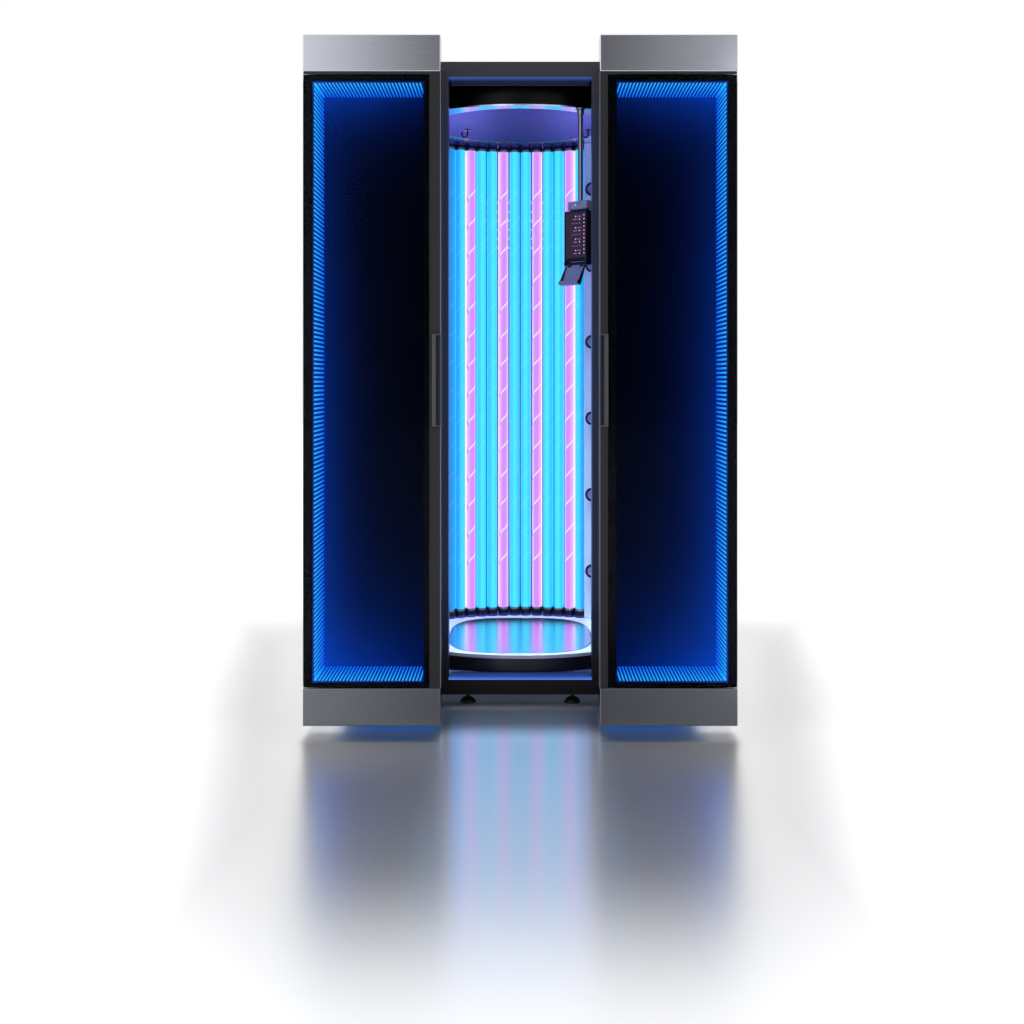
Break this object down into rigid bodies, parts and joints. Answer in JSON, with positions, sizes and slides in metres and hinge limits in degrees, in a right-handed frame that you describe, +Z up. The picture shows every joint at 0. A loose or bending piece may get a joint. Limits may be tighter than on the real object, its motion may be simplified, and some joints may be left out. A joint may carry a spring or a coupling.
{
  "type": "vertical tanning booth",
  "caption": "Walk-in tanning booth with an oval ring of upright lamps, a lit floor and canopy, a swivel display, air nozzles and two deep sliding glass-fronted doors.",
  "frame": {"origin": "on the floor, under the middle of the booth's length and width", "axes": "+Z up, -Y out of the doorway, +X to the right of someone who faces the doorway"},
  "size_m": [1.443, 1.47, 2.32],
  "materials": {
    "frame_steel": "satin powder coat",
    "foot_rubber": "matt",
    "pan_metal": "satin",
    "charcoal_metal": "satin powder coat",
    "blue_light": "lit diffuser",
    "black_cover": "fine grain",
    "rear_cover": "satin powder coat",
    "rail_steel": "brushed",
    "white_trim": "gloss",
    "black_gloss": "high gloss",
    "floor_mirror": "polished",
    "chrome_trim": "polished",
    "violet_light": "lit diffuser",
    "holder_plastic": "moulded",
    "reflector": "polished",
    "blue_lamp": "phosphor coated, lit",
    "pink_lamp": "phosphor coated, lit",
    "pole_metal": "satin",
    "tray_metal": "mill finish",
    "black_plastic": "moulded",
    "screen_glass": "lit display",
    "holder_metal": "satin",
    "door_metal": "mill finish",
    "satin_silver": "satin anodised",
    "dark_glass": "dark tint",
    "tunnel_mirror": "dark mirror",
    "roller_plastic": "turned nylon"
  },
  "bodies": {
    "cabin": {"cabin_frame": "frame_steel", "levelling_feet": "foot_rubber", "floor_pan": "pan_metal", "front_portal": "charcoal_metal", "mood_lights": "blue_light", "front_panels": "black_cover", "side_panels": "black_cover", "rear_panel": "rear_cover", "roof_panel": "black_cover", "door_rails": "rail_steel", "platform": "white_trim", "platform_skirt": "black_gloss", "floor_plate": "floor_mirror", "canopy_band": "black_gloss", "ceiling_ring": "chrome_trim", "ceiling_light": "violet_light", "lamp_holders": "holder_plastic", "lamp_reflectors": "reflector", "blue_lamps": "blue_lamp", "pink_lamps": "pink_lamp", "air_column": "white_trim", "hanger_pole": "pole_metal", "coat_hooks": "chrome_trim", "ballast_tray": "tray_metal"},
    "control_unit": {"display_housing": "black_plastic", "display_screen": "screen_glass"},
    "phone_holder": {"phone_holder": "holder_metal"},
    "exhaust_fan": {"exhaust_fan": "black_plastic"},
    "nozzle_ring_1": {"nozzle_ring_1": "black_plastic"},
    "nozzle_ring_2": {"nozzle_ring_2": "black_plastic"},
    "nozzle_ring_3": {"nozzle_ring_3": "black_plastic"},
    "nozzle_ring_4": {"nozzle_ring_4": "black_plastic"},
    "nozzle_ring_5": {"nozzle_ring_5": "black_plastic"},
    "nozzle_ring_6": {"nozzle_ring_6": "black_plastic"},
    "left_door": {"left_door_frame": "door_metal", "left_door_header": "satin_silver", "left_door_footer": "satin_silver", "left_door_glass": "dark_glass", "left_light_box": "tunnel_mirror", "left_light_bars": "blue_light", "left_closing_profile": "charcoal_metal", "left_handle": "charcoal_metal", "left_door_shell": "black_cover", "left_door_lamps": "blue_lamp", "left_lamp_tray": "reflector"},
    "left_inner_roller": {"left_inner_roller": "roller_plastic"},
    "left_outer_roller": {"left_outer_roller": "roller_plastic"},
    "right_door": {"right_door_frame": "door_metal", "right_door_header": "satin_silver", "right_door_footer": "satin_silver", "right_door_glass": "dark_glass", "right_light_box": "tunnel_mirror", "right_light_bars": "blue_light", "right_closing_profile": "charcoal_metal", "right_handle": "charcoal_metal", "right_door_shell": "black_cover", "right_door_lamps": "blue_lamp", "right_lamp_tray": "reflector"},
    "right_inner_roller": {"right_inner_roller": "roller_plastic"},
    "right_outer_roller": {"right_outer_roller": "roller_plastic"}
  },
  "joints": [
    {"name": "left_door_slide", "type": "slide", "parent": "cabin", "child": "left_door", "axis": [1, 0, 0], "range_m": [0, 0.2605]},
    {"name": "right_door_slide", "type": "slide", "parent": "cabin", "child": "right_door", "axis": [-1, 0, 0], "range_m": [0, 0.2605]},
    {"name": "left_inner_roller_spin", "type": "hinge", "parent": "left_door", "child": "left_inner_roller", "pos_m": [-0.5495, -0.371, 2.2613], "axis": [0, 1, 0], "range_deg": [0, 715]},
    {"name": "left_outer_roller_spin", "type": "hinge", "parent": "left_door", "child": "left_outer_roller", "pos_m": [-0.6495, -0.371, 2.2613], "axis": [0, 1, 0], "range_deg": [0, 715]},
    {"name": "right_inner_roller_spin", "type": "hinge", "parent": "right_door", "child": "right_inner_roller", "pos_m": [0.5495, -0.371, 2.2613], "axis": [0, -1, 0], "range_deg": [0, 715]},
    {"name": "right_outer_roller_spin", "type": "hinge", "parent": "right_door", "child": "right_outer_roller", "pos_m": [0.6495, -0.371, 2.2613], "axis": [0, -1, 0], "range_deg": [0, 715]},
    {"name": "display_swivel", "type": "hinge", "parent": "cabin", "child": "control_unit", "pos_m": [0.225, -0.175, 1.85], "axis": [0, 0, 1], "range_deg": [-95, 20]},
    {"name": "phone_holder_tilt", "type": "hinge", "parent": "control_unit", "child": "phone_holder", "pos_m": [0.20944, -0.19056, 1.605], "axis": [-0.7071, 0.7071, 0], "range_deg": [-18, 60]},
    {"name": "nozzle_1_turn", "type": "hinge", "parent": "cabin", "child": "nozzle_ring_1", "pos_m": [0.30319, 0.50478, 0.363], "axis": [-0.5465, -0.8374, 0], "range_deg": [0, 90]},
    {"name": "nozzle_2_turn", "type": "hinge", "parent": "cabin", "child": "nozzle_ring_2", "pos_m": [0.30319, 0.50478, 0.687], "axis": [-0.5465, -0.8374, 0], "range_deg": [0, 90]},
    {"name": "nozzle_3_turn", "type": "hinge", "parent": "cabin", "child": "nozzle_ring_3", "pos_m": [0.30319, 0.50478, 1.011], "axis": [-0.5465, -0.8374, 0], "range_deg": [0, 90]},
    {"name": "nozzle_4_turn", "type": "hinge", "parent": "cabin", "child": "nozzle_ring_4", "pos_m": [0.30319, 0.50478, 1.335], "axis": [-0.5465, -0.8374, 0], "range_deg": [0, 90]},
    {"name": "nozzle_5_turn", "type": "hinge", "parent": "cabin", "child": "nozzle_ring_5", "pos_m": [0.30319, 0.50478, 1.659], "axis": [-0.5465, -0.8374, 0], "range_deg": [0, 90]},
    {"name": "nozzle_6_turn", "type": "hinge", "parent": "cabin", "child": "nozzle_ring_6", "pos_m": [0.30319, 0.50478, 1.983], "axis": [-0.5465, -0.8374, 0], "range_deg": [0, 90]},
    {"name": "fan_spin", "type": "hinge", "parent": "cabin", "child": "exhaust_fan", "pos_m": [0, 0.182, 2.249], "axis": [0, 0, 1], "continuous": true}
  ],
  "couplings": [
    {"joint": "left_inner_roller_spin", "follows": "left_door_slide", "rad_per_m": 47.619},
    {"joint": "left_outer_roller_spin", "follows": "left_door_slide", "rad_per_m": 47.619},
    {"joint": "right_inner_roller_spin", "follows": "right_door_slide", "rad_per_m": 47.619},
    {"joint": "right_outer_roller_spin", "follows": "right_door_slide", "rad_per_m": 47.619}
  ]
}
